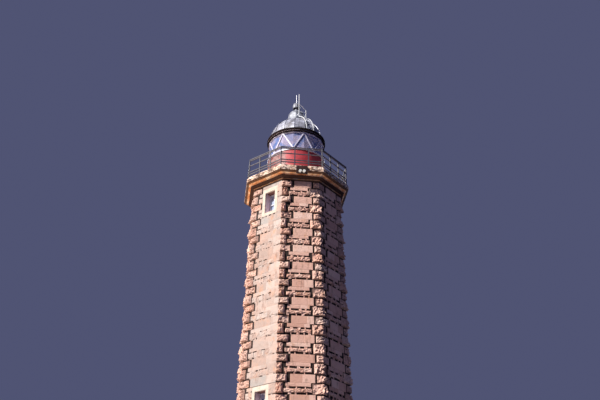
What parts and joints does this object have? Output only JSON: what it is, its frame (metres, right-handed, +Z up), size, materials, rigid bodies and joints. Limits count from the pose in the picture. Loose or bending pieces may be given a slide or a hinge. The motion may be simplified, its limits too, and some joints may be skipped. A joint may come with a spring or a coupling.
{
  "type": "octagonal stone lighthouse",
  "caption": "Tall battered octagonal stone lighthouse with a moulded cornice, railed gallery, red lantern drum, diagonal glazing bars and a ribbed metal dome.",
  "frame": {"origin": "centre of the tower's base on the ground", "axes": "+Z up along the tower's axis, the side with the door and windows towards -Y"},
  "size_m": [6.3, 6.3, 30.4371],
  "materials": {
    "pink_stone": "rock-faced and dressed sandstone",
    "floor_stone": "worn paving stone",
    "pale_stone": "dressed pale stone",
    "cornice_stone": "moulded stone with brown weather stains",
    "white_paint": "white paint",
    "window_glass": "window glass",
    "door_paint": "painted boards",
    "railing_paint": "weathered grey paint",
    "red_paint": "glossy red paint",
    "grey_paint": "light grey paint",
    "lantern_glass": "clear lantern glass",
    "dark_metal": "dark paint",
    "dome_metal": "light grey metal",
    "rod_metal": "galvanised steel",
    "lens_glass": "ribbed lens glass",
    "lamp_glass": "bright lamp glass"
  },
  "bodies": {
    "root": {"front_wall": "pink_stone", "front_right_wall": "pink_stone", "right_wall": "pink_stone", "back_right_wall": "pink_stone", "back_wall": "pink_stone", "back_left_wall": "pink_stone", "left_wall": "pink_stone", "front_left_wall": "pink_stone", "front_wall_piers": "pink_stone", "back_wall_piers": "pink_stone", "plinth": "pink_stone", "ground_floor": "floor_stone", "door_step": "floor_stone", "window_surrounds": "pale_stone", "door_surround": "pale_stone", "window_frames": "white_paint", "window_glass": "window_glass", "door_frame": "door_paint", "entrance_door": "door_paint", "cornice": "cornice_stone", "gallery_deck": "cornice_stone", "front_railing": "railing_paint", "front_right_railing": "railing_paint", "right_railing": "railing_paint", "back_right_railing": "railing_paint", "back_railing": "railing_paint", "back_left_railing": "railing_paint", "left_railing": "railing_paint", "front_left_railing": "railing_paint", "railing_corner_posts": "railing_paint", "lantern_drum": "red_paint", "lantern_door": "red_paint", "lantern_sill": "grey_paint", "glazing_bars": "grey_paint", "lantern_glass": "lantern_glass", "gutter_ring": "dark_metal", "dome": "dome_metal", "dome_hood": "dome_metal", "ventilator": "dome_metal", "lightning_rod": "rod_metal", "roof_ladder": "rod_metal", "lens_pedestal": "grey_paint", "lens": "lens_glass", "lamp_housing": "dark_metal", "twin_lamps": "lamp_glass"}
  },
  "joints": []
}
